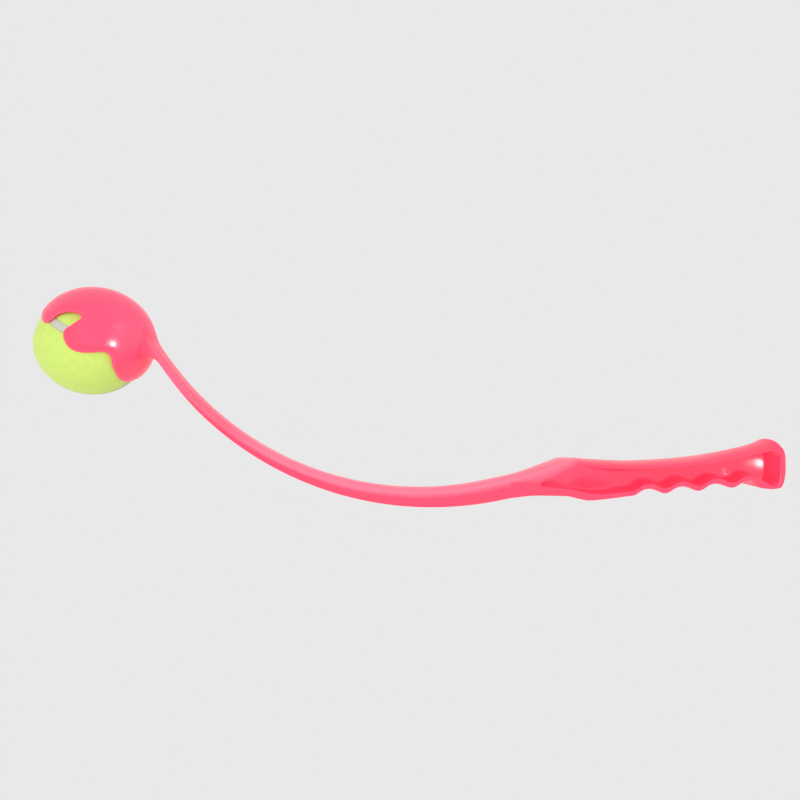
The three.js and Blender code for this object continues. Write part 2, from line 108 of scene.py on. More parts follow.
# The neck's root in the cup
ROOT_HALF_WIDTH = 8.5
ROOT_TAPER = 46.0
ROOT_FILLET = 13.0
ROOT_FLARE_UNDER = 7.0
ROOT_BLEND_SIDE = 1.1
ROOT_BLEND_TOP = 4.8
ROOT_CROWN = 6.0
ROOT_CROWN_SHARE = 0.62  # of the thickness
ROUNDER_UNTIL = 14.0
ROUNDER_FADE = 26.0
EMBED = 1.0  # how deep the neck's lines start in the cup's wall
BLEND_REACH = 20.0  # the cup's wall rises into the fillet as far as this from the neck's root
BLEND_FADE = 8.0
BLEND_FIELD = (-12.0, 30.0, 0.4)  # start, end and step of the neck's lines that it looks at
ROOT_MIDDLE = 12.0  # travel of the root's middle

# A painted highlight along the arm's top: a paler pink on its rounded top, where the light falls
HIGHLIGHT_FULL = 0.6  # of its depth
HIGHLIGHT_FADE = 0.42
NECK_HIGHLIGHT = 0.52  # its strength on the neck
NECK_HIGHLIGHT_START = 16.0  # over which it comes in from the cup
NECK_HIGHLIGHT_GROWTH = 40.0  # over which it gets its full strength on the arm
NECK_HIGHLIGHT_DEPTH = 8.0
NECK_HIGHLIGHT_LENGTH = 20.0
NECK_HIGHLIGHT_CHANGE = 60.0
HIGHLIGHT_END = 38.0  # run at which it fades out
HIGHLIGHT_END_FADE = 8.0
HIGHLIGHT_END_LEAN = 0.9

# The handle
HANDLE_LENGTH = 173.7
HANDLE_DEPTH = 40.0
HANDLE_HALF_WIDTH = 13.0
HANDLE_EDGE = 1.0
HANDLE_CROWN = 3.8
WIDEN_START = 8.0
WIDEN_LENGTH = 36.0
BUTT_HALF_WIDTH = 15.5
BUTT_FLARE = 36.0
BUTT_CROWN = 10.3
CROWN_GROWTH = 55.0
BUTT_SOFT = 0.9  # radius round the butt's end
BUTT_BULGE_RADIUS = 33.0
BUTT_BULGE_RADIUS_ABOVE = 240.0
BUTT_BULGE_REACH = 16.0
BUTT_BULGE_SHARE = 0.52
GROOVE_COUNT = 4
GROOVE_PITCH = 21.5
GROOVE_DEPTH = 3.6
GROOVE_FULLNESS = 2.7
GROOVE_START = 77.2
LAST_GROOVE = 0.3
# Its outline: shares of the length, and of the depth
TOP_SHARES = [
    (0, 0.3575), (0.03, 0.392), (0.092, 0.48), (0.122, 0.525), (0.168, 0.598), (0.186, 0.629), (0.2, 0.645),
    (0.216, 0.65), (0.26, 0.645), (0.307, 0.627), (0.353, 0.617), (0.445, 0.599), (0.537, 0.609),
    (0.63, 0.634), (0.722, 0.675), (0.814, 0.746), (0.906, 0.832), (0.952, 0.886), (0.98, 0.931), (1, 0.972),
]
BOTTOM_SHARES = [
    (0, 0), (0.083, 0.043), (0.15, 0.056), (0.207, 0.058), (0.248, 0.022), (0.288, -0.005),
    (0.369, 0.027), (0.445, 0.07), (0.57, 0.111), (0.692, 0.151), (0.814, 0.201),
    (0.876, 0.225), (0.934, 0.192), (0.974, 0.192), (1, 0.217),
]

# The pocket in the handle's side
WEB = 3.0
TOP_RIM = 4.1
BOTTOM_RIM = 3.4
RIM_DRAFT = 0.45
BUTT_DIP = 6.2
BUTT_DIP_END = 6.0
END_WALL = 3.6
END_INSET = 3.0
POCKET_TIP = 19.6
TIP_HEIGHT = 9.8
TIP_RADIUS = 1.2
TIP_DEPTH = 3.6
TIP_RAMP = 30.0
UPPER_OPENING = 21.0
LOWER_OPENING = 42.0
UPPER_RAMP_START = 10.0
UPPER_RAMP = 50.0
RAMP_TAIL = 85.0
RAMP_TAIL_SHARE = 0.25
SCOOP_INSET = 0.6
FLOOR_INSET = 1.1
POCKET_CORNER = 2.0
POCKET_LIP = 0.7
THROAT_LIP = 3.2
POCKET_FILLET = 3.2
POCKET_SCOOP = 1.6
THROAT_SCOOP = 3.0
DEEPER_FLOOR = (30.0, 40.0)  # run at which the floor's lower fillet grows, and over how much
STEEPER_FLOOR = (60.0, 40.0)  # the same for the lip and the scoop along its top
SLIVER = 0.1  # keeps the lines of a closed pocket apart
DISH_RADIUS = 47.0
DISH_SHARE = 0.45
END_DISH_RADIUS = 80.0
END_DISH_SHARE = 0.52
END_RISE_START = 148.5
END_RISE_FADE = 16.0
END_RISE_RADIUS = 50.0
FLOOR_MARKS = [(146.3, 0.4, 3.0, 1.0), (159.8, 4.5, 3.4, 0.15)]  # run, height, spread and rise of each dome

# Colours and brightness
STUDIO_GREY = 233
PINK = (1.0, 0.051, 0.12, 1)
# The paler pink is a painted highlight, on the arm's top and the cup's rim edge
HIGHLIGHT_PINK = (1.0, 0.175, 0.265, 1)
# The glow is painted light: a steady pink that lifts the plastic's shade
PINK_PAINTED_GLOW = (1.0, 0.06, 0.12, 1)
FELT_DARK = (0.45, 0.635, 0.095, 1)
FELT_LIGHT = (0.69, 0.845, 0.215, 1)
SKY_HORIZON, SKY_TOP, SKY_RIGHT = 0.73, 0.82, 0.4


# Small helpers, most of them for numbers and arrays alike


def lerp(a, b, t):
    """The value at a share t of the way from a to b."""
    return a + (b - a) * t


def ramp(value, start, length):
    """Rises evenly from 0 at the start to 1 a length later."""
    return np.clip((value - start) / length, 0, 1)


def ease(t):
    """A soft step from 0 to 1: 3 t^2 - 2 t^3."""
    t = np.clip(t, 0, 1)
    return t * t * (3 - 2 * t)


def pair(out, up):
    """Points of a section as two columns."""
    return np.stack(np.broadcast_arrays(out, up), -1).astype(float)


def spline(points, samples):
    """Points of a Catmull-Rom curve through the given points, evenly many between each two."""
    pts = np.array(points, float)
    pts = np.vstack([pts[:1], pts, pts[-1:]])
    p0, p1, p2, p3 = (pts[i : len(pts) - 3 + i, None] for i in range(4))
    t = np.linspace(0, 1, samples, endpoint=False)[:, None]
    v0, v1 = (p2 - p0) / 2, (p3 - p1) / 2
    curve = (2 * p1 - 2 * p2 + v0 + v1) * t**3 + (-3 * p1 + 3 * p2 - 2 * v0 - v1) * t**2 + v0 * t + p1
    return np.vstack([curve.reshape(-1, pts.shape[1]), pts[-1:]])


def even(points, count):
    """The same curve cut into equal lengths."""
    length = np.concatenate([[0], np.cumsum(np.linalg.norm(np.diff(points, axis=0), axis=1))])
    at = np.linspace(0, length[-1], count)
    return np.stack([np.interp(at, length, column) for column in points.T], 1)


def outline(shares):
    """A smooth line through the shares, as a function of its first column."""
    curve = spline(shares, 60)
    return lambda x: np.interp(x, curve[:, 0], curve[:, 1])


def grid_faces(rows, around, closed=False):
    """Four-cornered faces between neighbouring rings. Closed also joins the last ring to the first."""
    here = np.arange(rows * around).reshape(rows, around)
    beside = np.roll(here, -1, 1)
    faces = np.stack([here, beside, np.roll(beside, -1, 0), np.roll(here, -1, 0)], -1)
    return (faces if closed else faces[:-1]).reshape(-1, 4)


def fan_faces(tip, ring):
    """Triangles from a tip to a closed ring of point numbers."""
    return np.stack([np.full(len(ring), tip), np.roll(ring, -1), ring], 1)


def signed_volume(points, faces):
    """Six times the volume inside the faces: for each triangle, its corners' triple product."""
    a, b, c, d = (points[faces[:, k]] for k in (0, 1, 2, -1))
    return (np.cross(a, b) * c).sum() + (np.cross(a, c) * d).sum()


def add_object(name, data):
    """Puts an object with this data in the scene, at the origin."""
    obj = bpy.data.objects.new(name, data)
    bpy.context.scene.collection.objects.link(obj)
    return obj


def make_mesh(name, points, quads, fans, material, painted_highlight=None):
    """A smooth-shaded mesh whose faces point out. A negative volume turns every face round."""
    if signed_volume(points, quads) + signed_volume(points, fans) < 0:
        quads, fans = quads[:, ::-1], fans[:, ::-1]
    mesh = bpy.data.meshes.new(name)
    mesh.from_pydata((points * MM).tolist(), [], quads.tolist() + fans.tolist())
    mesh.polygons.foreach_set("use_smooth", [True] * len(mesh.polygons))
    mesh.materials.append(material)
    # Each point's share of the painted highlight, a paler pink, is kept as an attribute of the mesh
    if painted_highlight is not None:
        mesh.attributes.new("painted_highlight", "FLOAT", "POINT").data.foreach_set("value", painted_highlight.tolist())
    mesh.update()
    return add_object(name, mesh)


def tube(name, rings, tips, material, painted_highlight=None):
    """A tube through closed rings. A fan closes each end, the first and the last, whose tip isn't None."""
    rows, around = rings.shape[:2]
    points, fans = rings.reshape(-1, 3), np.empty((0, 3), int)
    for row, tip in zip((0, rows - 1), tips):
        if tip is None:
            continue
        fan = fan_faces(len(points), row * around + np.arange(around))
        fans = np.vstack([fans, fan if row == 0 else fan[:, ::-1]])
        points = np.vstack([points, tip])
    # Each point's share of the painted highlight; the tips' points get none
    if painted_highlight is not None:
        painted_highlight = np.concatenate([np.ravel(painted_highlight), np.zeros(len(points) - np.size(painted_highlight))])
    return make_mesh(name, points, grid_faces(rows, around), fans, material, painted_highlight)


# The moulded section


def bend(a, b, c, radius, steps):
    """Rounds the corner b of the path a, b, c by a parabola: p (1-t)^2 + b 2t(1-t) + q t^2.

    Its ends p and q lie the radius from the corner, or less on a short side. One corner a row.
    """
    u, v = a - b, c - b
    lu, lv = (np.maximum(np.linalg.norm(side, axis=-1, keepdims=True), 1e-9) for side in (u, v))
    reach = np.minimum(np.minimum(np.reshape(radius, (-1, 1)), 0.45 * lu), 0.45 * lv)
    p, q = (b + u / lu * reach)[:, None], (b + v / lv * reach)[:, None]
    t = np.linspace(0, 1, steps + 1)[:, None]
    return p * (1 - t) ** 2 + b[:, None] * 2 * t * (1 - t) + q * t * t


def half_sections(s):
    """Half of each section, from the middle of its underside up its side to the middle of its crowned top.

    The side steps in to the web and out again where a pocket is open; with no pocket the same points lie
    along the side. The crown is a quarter of an ellipse. s holds an array of each size, one value a section.
    """
    h, top, bottom = s["half"], s["top"], s["bottom"]
    crown_width, crown_depth = s["crown_width"], s["crown_depth"]
    low, high, floor_low, floor_high, depth_low, depth_high = s["pocket"]
    crown_start, centre = top - crown_depth, h - crown_width

    def side_at(up):
        """How far out the side is at a height: straight, then the crown's ellipse."""
        over = np.clip((up - crown_start[:, None]) / crown_depth[:, None], 0, 0.99)
        return centre[:, None] + crown_width[:, None] * np.sqrt(1 - over**2)

    def crown_at(turn):
        """A point of the crown by its angle on the ellipse, 0 at the side."""
        return pair(centre + crown_width * np.cos(turn), crown_start + crown_depth * np.sin(turn))

    above_side = high > crown_start - 0.05
    turn = np.where(above_side, np.arcsin(np.clip((high - crown_start) / crown_depth, 0, 0.95)), 0)
    after = turn + s["crown_step"]
    under, corner = pair(0, bottom), pair(h - s["draft"], bottom)
    lower_lip, lower_floor = pair(h, low), pair(h - depth_low, floor_low)
    upper_floor = pair(h - depth_high, floor_high)
    upper_lip = np.where(above_side[:, None], crown_at(turn), pair(h, high))

    inner = bend(lower_lip, lower_floor, upper_floor, s["fillet"], 10)
    outer = bend(lower_floor, upper_floor, upper_lip, s["scoop"], 10)
    floor = np.hstack([inner, lerp(inner[:, -1:], outer[:, :1], np.linspace(0, 1, 12)[1:-1, None]), outer])
    floor[..., 0] += s["relief"](floor[..., 1])
    floor[..., 0] = np.minimum(floor[..., 0], side_at(floor[..., 1]))
    floor_top = pair(np.minimum(h - depth_high, side_at(floor_high[:, None])[:, 0]), floor_high)
    turns = lerp(after[:, None], math.pi / 2, np.arange(1, 15) / 15).T
    return np.hstack([
        under[:, None],
        pair(h * 0.5, bottom)[:, None],
        bend(under, corner, lower_lip, s["edge"], 6),
        bend(corner, lower_lip, lower_floor, s["lip"], 5),
        floor,
        bend(floor_top, upper_lip, crown_at(after), s["upper_lip"], 8),
        crown_at(turns).swapaxes(0, 1),
        pair(0, top)[:, None],
    ])


def full_sections(s):
    """The half sections and their mirror images, as closed rings."""
    half = half_sections(s)
    return np.hstack([half, half[:, -2:0:-1] * (-1, 1)])


# Places along the launcher


def along_arc(angle, radius=ARM_RADIUS):
    """Columns x and z of a point on a circle round the arc's centre."""
    return ARC_CENTRE[0] + radius * np.sin(angle), ARC_CENTRE[1] - radius * np.cos(angle)


end_angle, root_angle = math.radians(ARM_END_ANGLE), math.radians(CUP_ANGLE)
throat_run = THROAT_THICKNESS * 0.85
arc_length = ARM_RADIUS * (end_angle - root_angle)
arm_length = arc_length + throat_run
flex_travel = ARM_RADIUS * math.radians(FLEX_ANGLE - CUP_ANGLE)
arc_end = along_arc(end_angle)
throat = (arc_end[0] + throat_run * math.cos(end_angle), arc_end[1] + throat_run * math.sin(end_angle))
handle_base = throat[1] - HANDLE_DEPTH * (TOP_SHARES[0][1] + BOTTOM_SHARES[0][1]) / 2
top_line, bottom_line = outline(TOP_SHARES), outline(BOTTOM_SHARES)

cup_distance = ARM_RADIUS + CUP_STANDOFF
cup_inner = math.hypot(BALL_RADIUS + LIP_CLEARANCE, BALL_PROUD)
cup_outer = cup_inner + LIP_WALL
outer_proud = BALL_PROUD + BACK_WALL - LIP_WALL
tilt = math.radians(CUP_TILT)
AXIS = np.array([math.cos(tilt), 0, math.sin(tilt)])
FRONT = np.array([-math.sin(tilt), 0, math.cos(tilt)])
SIDE = np.array([0, -1.0, 0])
cup_centre = np.insert(along_arc(root_angle, cup_distance), 1, 0)
ball_centre = cup_centre - AXIS * outer_proud

end_rim = HANDLE_LENGTH - END_WALL
end_floor = end_rim - END_INSET
dip_start = GROOVE_START + GROOVE_PITCH * (GROOVE_COUNT - 0.5)


def groove(run):
    """Depth of the finger grooves: one dip after another, the last one cut short by the butt's lip.

    A dip is 1 - |cos(pi t)|^n over its pitch.
    """
    turns = (run - GROOVE_START) / GROOVE_PITCH
    past = turns - (GROOVE_COUNT - 0.5)
    phase = np.where(past > 0, 0.5 + np.minimum(past / LAST_GROOVE, 1) / 2, turns)
    dip = GROOVE_DEPTH * (1 - np.abs(np.cos(math.pi * phase)) ** GROOVE_FULLNESS)
    return np.where((turns <= 0) | (turns >= GROOVE_COUNT), 0, dip)


def handle_top(run):
    """Height of the top line: the outline's share of the depth above its base."""
    return handle_base + HANDLE_DEPTH * top_line(run / HANDLE_LENGTH)


def handle_bottom(run):
    """Height of the bottom line, found in the same way and hollowed by the grooves."""
    return handle_base + HANDLE_DEPTH * bottom_line(run / HANDLE_LENGTH) + groove(run)


def handle_half(run):
    """Half the handle's width: the arm's, widened by one soft step and flared at the butt by another."""
    widened = ease(ramp(run, WIDEN_START, WIDEN_LENGTH))
    flared = ease(ramp(run, HANDLE_LENGTH - BUTT_FLARE, BUTT_FLARE))
    return lerp(ARM_HALF_WIDTH, HANDLE_HALF_WIDTH, widened) + (BUTT_HALF_WIDTH - HANDLE_HALF_WIDTH) * flared


def lower_edge(run):
    """The pocket's lower edge: it follows the grooves, then dips evenly towards the butt's lower corner."""
    dip = BUTT_DIP * ease(ramp(run, dip_start, HANDLE_LENGTH - BUTT_DIP_END - dip_start))
    return handle_bottom(np.minimum(run, dip_start)) + BOTTOM_RIM - dip


def corner_rise(left):
    """How far a rounded corner of the pocket has closed at a distance before its end: a quarter circle."""
    opened = np.clip(POCKET_CORNER - left, 0, POCKET_CORNER)
    return POCKET_CORNER - np.sqrt(POCKET_CORNER**2 - opened**2)


def ramp_tail(run):
    """The share of its depth that the pocket gains only slowly towards the grip."""
    return RAMP_TAIL_SHARE * (1 - ease(ramp(run, POCKET_TIP + UPPER_RAMP_START, RAMP_TAIL)))


def upper_depth(run):
    """How much of its depth the pocket has reached along its upper side."""
    return np.maximum(ease(ramp(run, POCKET_TIP + UPPER_RAMP_START, UPPER_RAMP)) - ramp_tail(run), 0)


def pocket_levels(run, inset):
    """The pocket's lower and upper level, at the rim (inset 0) or at the web (inset 1)."""
    tip = handle_base + TIP_HEIGHT
    blunt = TIP_RADIUS * np.sqrt(ramp(run, POCKET_TIP, TIP_RADIUS))
    opened, lowered = ramp(run, POCKET_TIP, UPPER_OPENING), ramp(run, POCKET_TIP, LOWER_OPENING)
    corner = corner_rise(end_rim - END_INSET * inset - run)
    low = lerp(tip, lower_edge(run), lowered) - blunt * (1 - lowered) + FLOOR_INSET * inset * lowered + corner
    high = lerp(tip, handle_top(run) - TOP_RIM, opened) + blunt * (1 - opened)
    high = high - SCOOP_INSET * inset * upper_depth(run) - corner
    return low, np.maximum(high, low)


def pocket_at(run, fade):
    """The pocket's lower and upper edge, the same two at the web, and its depth at both."""
    low, high = pocket_levels(run, 0)
    floor_low, floor_high = pocket_levels(run, 1)
    wall = handle_half(run) - WEB / 2
    blunt = TIP_DEPTH * ramp(run, POCKET_TIP, TIP_RADIUS) / wall
    depth_low = wall * np.maximum(ease(ramp(run, POCKET_TIP, TIP_RAMP)) - ramp_tail(run), blunt)
    depth_high = wall * upper_depth(run)
    return low - SLIVER, high + SLIVER, floor_low, floor_high, depth_low * fade, depth_high * fade


def floor_relief(run, fade, up):
    """Slight hollows and domes of the pocket's floor, as a moulded web has. They break up reflections.

    The hollow is a parabola across, the rise to the end wall one along, and a dome is a bell curve.
    """
    low, high = pocket_levels(run, 1)
    near_end = ease(ramp(run, END_RISE_START, END_RISE_FADE))
    centre = lerp(low, high, lerp(DISH_SHARE, END_DISH_SHARE, near_end))
    radius = lerp(DISH_RADIUS, END_DISH_RADIUS, near_end)
    rise = np.maximum(run - END_RISE_START, 0) ** 2 / (2 * END_RISE_RADIUS)
    full = ease(ramp(run, POCKET_TIP, UPPER_RAMP_START + UPPER_RAMP))
    share = np.clip((up - low) / (high - low + 1e-6), 0, 1)
    lift = (up - centre) ** 2 / (2 * radius) + rise
    for mark_run, level, spread, height in FLOOR_MARKS:
        lift = lift + height * np.exp(-((run - mark_run) ** 2 + (up - level) ** 2) / (2 * spread**2))
    return full * lift * np.sqrt(4 * share * (1 - share)) * fade


def handle_sizes(run, fade, inset):
    """Sizes of the handle's sections, in soft steps. Fade closes the pocket, inset rounds the butt."""
    widened = ease(ramp(run, WIDEN_START, WIDEN_LENGTH))
    growth = ease(ramp(run, HANDLE_LENGTH - CROWN_GROWTH, CROWN_GROWTH))
    steeper, deeper = ease(ramp(run, *STEEPER_FLOOR)), ease(ramp(run, *DEEPER_FLOOR))
    half = handle_half(run)
    return dict(
        half=half - inset,
        top=handle_top(run) - inset,
        bottom=handle_bottom(run) + inset,
        edge=lerp(ARM_EDGE, HANDLE_EDGE, widened),
        crown_width=lerp(ARM_CROWN, half * 0.96, widened) - inset * 0.9,
        crown_depth=lerp(lerp(ARM_CROWN, HANDLE_CROWN, widened), BUTT_CROWN, growth),
        lip=POCKET_LIP,
        upper_lip=lerp(THROAT_LIP, POCKET_LIP, steeper),
        fillet=lerp(ARM_FILLET, POCKET_FILLET, deeper),
        scoop=lerp(THROAT_SCOOP, POCKET_SCOOP, steeper),
        crown_step=0.3,
        draft=RIM_DRAFT * widened,
        relief=lambda up: floor_relief(run[:, None], fade[:, None], up),
        pocket=pocket_at(run, fade),
    )


def arm_thickness(travel):
    """Grows evenly from the neck to the throat."""
    return lerp(NECK_THICKNESS, THROAT_THICKNESS, np.clip(travel / arm_length, 0, 1))


def arm_sizes(travel):
    """Sizes of the arm's sections. The waist hollows its underside behind the neck's root."""
    thickness = arm_thickness(travel)
    waist = NECK_WAIST * (1 - ease(ramp(travel, WAIST_START, WAIST_LENGTH)))
    edge, crown = np.minimum(ARM_EDGE, thickness / 4), np.minimum(ARM_CROWN, thickness * 0.45)
    side = thickness - waist - edge - crown
    middle = waist - thickness / 2 + edge + side / 2
    flush = np.zeros_like(travel)
    return dict(
        half=lerp(ROOT_HALF_WIDTH, ARM_HALF_WIDTH, ease(travel / ROOT_TAPER)),
        top=thickness / 2,
        bottom=waist - thickness / 2,
        edge=edge,
        crown_width=np.minimum(ARM_CROWN, thickness * 0.7),
        crown_depth=crown,
        lip=ARM_LIP,
        upper_lip=ARM_LIP,
        fillet=ARM_FILLET,
        scoop=ARM_FILLET,
        crown_step=0.12,
        draft=0,
        relief=np.zeros_like,
        pocket=(middle - side / 5, middle + side / 5, middle - side / 12, middle + side / 12, flush, flush),
    )


def root_sizes(travel):
    """Sizes of the neck's sections. Close to the cup its top is rounder, so that it flows into the cup."""
    s = arm_sizes(travel)
    rounder = 1 - ease(ramp(travel, ROUNDER_UNTIL, ROUNDER_FADE))
    s["crown_width"] = lerp(s["crown_width"], ROOT_CROWN, rounder)
    s["crown_depth"] = lerp(s["crown_depth"], ROOT_CROWN_SHARE * (s["top"] - s["bottom"]), rounder)
    return s


def arm_place(travel, rise, across):
    """A place by travel along the arm's middle line, rise towards the arc's centre, and distance aside.

    The line is the arc, and past its end a short straight piece over which the sections turn upright.
    """
    travel, rise, across = np.broadcast_arrays(travel, rise, across)
    x, z = along_arc(root_angle + travel / ARM_RADIUS, ARM_RADIUS - rise)
    past = np.maximum(travel - arc_length, 0)
    lean = end_angle * (1 - ease(past / throat_run))
    straight_x = arc_end[0] + past * math.cos(end_angle) - rise * np.sin(lean)
    straight_z = arc_end[1] + past * math.sin(end_angle) + rise * np.cos(lean)
    on_arc = travel <= arc_length
    return np.stack([np.where(on_arc, x, straight_x), across, np.where(on_arc, z, straight_z)], -1)


def root_travel(rise, across, radius):
    """Where a line along the arm leaves the round wall that the neck is rooted in, by the cosine rule."""
    reach = ARM_RADIUS - rise
    cut = radius * radius - across * across
    cosine = (cup_distance**2 + reach**2 - cut) / (2 * cup_distance * reach)
    return ARM_RADIUS * np.arccos(np.minimum(cosine, 1))


def handle_place(run, out, up):
    """A point of the handle in place. The butt's end bulges: it falls back by height squared over 2 radii."""
    level = handle_base + HANDLE_DEPTH * BUTT_BULGE_SHARE
    reach = ramp(run, HANDLE_LENGTH - BUTT_BULGE_REACH, BUTT_BULGE_REACH) ** 2
    radius = np.where(up < level, BUTT_BULGE_RADIUS, BUTT_BULGE_RADIUS_ABOVE)
    return np.stack([throat[0] + run - reach * (up - level) ** 2 / (2 * radius), out, up], -1)


def cup_place(radius, proud, polar, turn, thin=0.0):
    """A place on one of the cup's two walls: a sphere down to the ball's equator, then straight on."""
    bent = np.minimum(polar, math.acos(-proud / radius))
    along = proud + (radius - thin) * np.cos(bent) - radius * (polar - bent)
    out = (radius - thin) * np.sin(bent)
    across = FRONT * np.cos(turn)[..., None] + SIDE * np.sin(turn)[..., None]
    return ball_centre + AXIS * along[..., None] + across * out[..., None]


# Pieces


def highlight_share(drop, depth):
    """How much of the painted highlight, a paler pink, a point has at a drop below the top."""
    return 1 - ease(ramp(drop, depth * HIGHLIGHT_FULL, depth * HIGHLIGHT_FADE))


def arm_highlight(travel, up):
    """The painted highlight on the arm, which reaches deeper near the cup."""
    depth = lerp(NECK_HIGHLIGHT_DEPTH, ARM_CROWN, ease(ramp(travel, NECK_HIGHLIGHT_LENGTH, NECK_HIGHLIGHT_CHANGE)))
    return highlight_share(arm_thickness(travel) / 2 - up, depth)


class Neck:
    """The neck's lines. Each leaves the cup's wall at its own start, and those below flare down to it."""

    def __init__(self):
        out, up = full_sections(root_sizes(np.zeros(1)))[0].T
        self.lift = -ROOT_FLARE_UNDER * ease(ramp(-up, -0.5, 1.0))
        self.starts = root_travel(up + self.lift, out, cup_outer - EMBED)

    def section_points(self, travels):
        """Columns out and up of every line at its own travel, from sections a tenth of a millimetre apart."""
        tenths, which = np.unique(np.round(travels, 1), return_inverse=True)
        sections = full_sections(root_sizes(tenths))
        return sections[which.reshape(travels.shape), np.arange(len(self.starts))]

    def rings(self, travels):
        """One point of every line, each at its own travel. The flare below dies out by the square."""
        points = self.section_points(travels)
        flare = (1 - ramp(travels, self.starts, ROOT_FILLET)) ** 2
        return arm_place(travels, points[..., 1] + self.lift * flare, points[..., 0])


def outward_normals(rings):
    """Unit normals of a grid: the differences along it crossed with those around it, turned to point out."""
    along = np.gradient(rings, axis=0)
    around = np.roll(rings, -1, 1) - np.roll(rings, 1, 1)
    normals = np.cross(along, around)
    normals /= np.linalg.norm(normals, axis=2, keepdims=True) + 1e-12
    turned = ((rings - rings.mean(1, keepdims=True)) * normals).sum()
    return normals * math.copysign(1, turned)


def fillet_width(normals):
    """The fillet between neck and cup is wide on top and narrow at the sides and below."""
    lean = root_angle + 15 / ARM_RADIUS
    facing_up = np.clip(normals @ np.array([-math.sin(lean), 0, math.cos(lean)]), 0, 1)
    return lerp(ROOT_BLEND_SIDE, ROOT_BLEND_TOP, ease(facing_up))


def fillet_rise(gap, facing, width):
    """How far a surface rises into the fillet at a gap to the other one: a parabola up to where they meet.

    Beyond the meeting it goes straight on, hidden under the other surface. Facing is the cosine between both.
    """
    rise = np.zeros_like(gap)
    for _ in range(40):
        left = gap + (facing - 1) * rise
        bent = np.maximum(width - left, 0) ** 2 / (4 * width)
        rise = np.where(left < 0, np.minimum(width / 4 - left / 2, width / 4 + 0.6), bent)
    return rise


def build_arm(material):
    """The neck and arm in one sweep: lines start inside the cup's wall, flare away and run to the throat."""
    shares = (np.arange(81) / 80)[:, None] ** 1.5
    travels = lerp(neck.starts, flex_travel, shares)
    root = neck.rings(travels)
    normals = outward_normals(root)
    away = root - cup_centre
    distance = np.linalg.norm(away, axis=2)
    facing = (normals * away).sum(2) / distance
    root = root + normals * fillet_rise(distance - cup_outer, facing, fillet_width(normals))[..., None]
    # The painted highlight, a paler pink along the top, comes in on the neck from the cup's wall and grows on
    # the arm
    root_highlight_tint = NECK_HIGHLIGHT * ease(ramp(travels, neck.starts, NECK_HIGHLIGHT_START))
    root_highlight_tint = root_highlight_tint * arm_highlight(travels, neck.section_points(travels)[..., 1])

    travel = np.linspace(flex_travel, arm_length, 150)[1:]
    out, up = np.moveaxis(full_sections(arm_sizes(travel)), -1, 0)
    travel = travel[:, None]
    highlight_tint = lerp(NECK_HIGHLIGHT, 1.0, ease(ramp(travel, flex_travel, NECK_HIGHLIGHT_GROWTH))) * arm_highlight(travel, up)
    rings = np.vstack([root, arm_place(travel, up, out)])
    return tube("launcher_arm", rings, (None, None), material, painted_highlight=np.vstack([root_highlight_tint, highlight_tint]))


def blend_with_neck(points):
    """Raises the cup's outer surface into the fillet round the neck, whose lines go on inside it for this."""
    field = neck.rings(neck.starts + np.arange(*BLEND_FIELD)[:, None])
    normals = outward_normals(field).reshape(-1, 3)
    field = field.reshape(-1, 3)
    apart = np.linalg.norm(points - arm_place(ROOT_MIDDLE, 0, 0), axis=1)
    near = np.flatnonzero(apart < BLEND_REACH)
    fade = np.clip((BLEND_REACH - apart) / BLEND_FADE, 0, 1)
    raised = points.copy()
    parts = max(len(near) // 400, 1)  # a few hundred points at a time, to save memory
    for some in np.array_split(near, parts):
        p = points[some]
        squared = (p**2).sum(1)[:, None] + (field**2).sum(1)[None] - 2 * p @ field.T
        closest = squared.argmin(1)
        n = normals[closest]
        gap = ((p - field[closest]) * n).sum(1)
        out = p - cup_centre
        out /= np.linalg.norm(out, axis=1)[:, None]
        raised[some] = p + out * (fade[some] * fillet_rise(gap, (n * out).sum(1), fillet_width(n)))[:, None]
    return raised


def build_handle(material):
    """The handle: sections from the throat to the butt, close together over the pocket's end wall."""
    deep = handle_half(end_floor) - WEB / 2
    foot, rim = np.array([[end_floor, deep]]), np.array([[end_rim, 0.0]])
    wall = np.vstack([
        bend(foot - (3, 0), foot, rim, 0.6, 5)[0],
        bend(foot, rim, rim + (2, 0), 0.45, 5)[0],
    ])
    last = HANDLE_LENGTH - BUTT_SOFT
    turn = np.linspace(0, math.pi / 2, 6)[1:]
    open_runs = np.concatenate([
        np.arange(0, POCKET_TIP, 1.2),
        POCKET_TIP + np.array([0.0, 0.15, 0.35, 0.6, 0.9, 1.2, 1.6]),
        np.arange(POCKET_TIP + 2.2, end_floor - 1.2, 0.6),
    ])
    solid_runs = np.linspace(end_rim + 0.8, last, 3)
    run = np.concatenate([open_runs, wall[:, 0], solid_runs, last + BUTT_SOFT * np.sin(turn)])
    fade = np.concatenate([np.ones(len(open_runs)), wall[:, 1] / deep, np.zeros(len(solid_runs) + len(turn))])
    inset = np.concatenate([np.zeros(len(run) - len(turn)), BUTT_SOFT * (1 - np.cos(turn))])

    sizes = handle_sizes(run, fade, inset)
    out, up = np.moveaxis(full_sections(sizes), -1, 0)
    flat = np.stack([np.broadcast_to(run[:, None], up.shape), out, up], -1)
    # The painted highlight along the handle's top fades out a short way from the throat
    drop = sizes["top"][:, None] - up
    gone = ease(ramp(run[:, None] + drop * HIGHLIGHT_END_LEAN, HIGHLIGHT_END, HIGHLIGHT_END_FADE))
    highlight_tint = highlight_share(drop, ARM_CROWN) * (1 - gone)
    middle = flat[-1].mean(0)
    cap = middle + (flat[-1] - middle) * np.array([0.97, 0.85, 0.7, 0.5, 0.25])[:, None, None]
    rings = handle_place(*np.moveaxis(np.vstack([flat, cap]), -1, 0))
    return tube("launcher_handle", rings, (None, handle_place(*middle)), material, painted_highlight=highlight_tint)


def rim_line():
    """The rim as degrees round and down, mirrored to both sides, at even distances and in radians."""
    half = np.array(RIM, float)
    loop = np.vstack([half[1:][::-1] * (-1, 1), half])
    return np.radians(even(spline(loop, 24), RIM_POINTS + 1)[:-1]).T


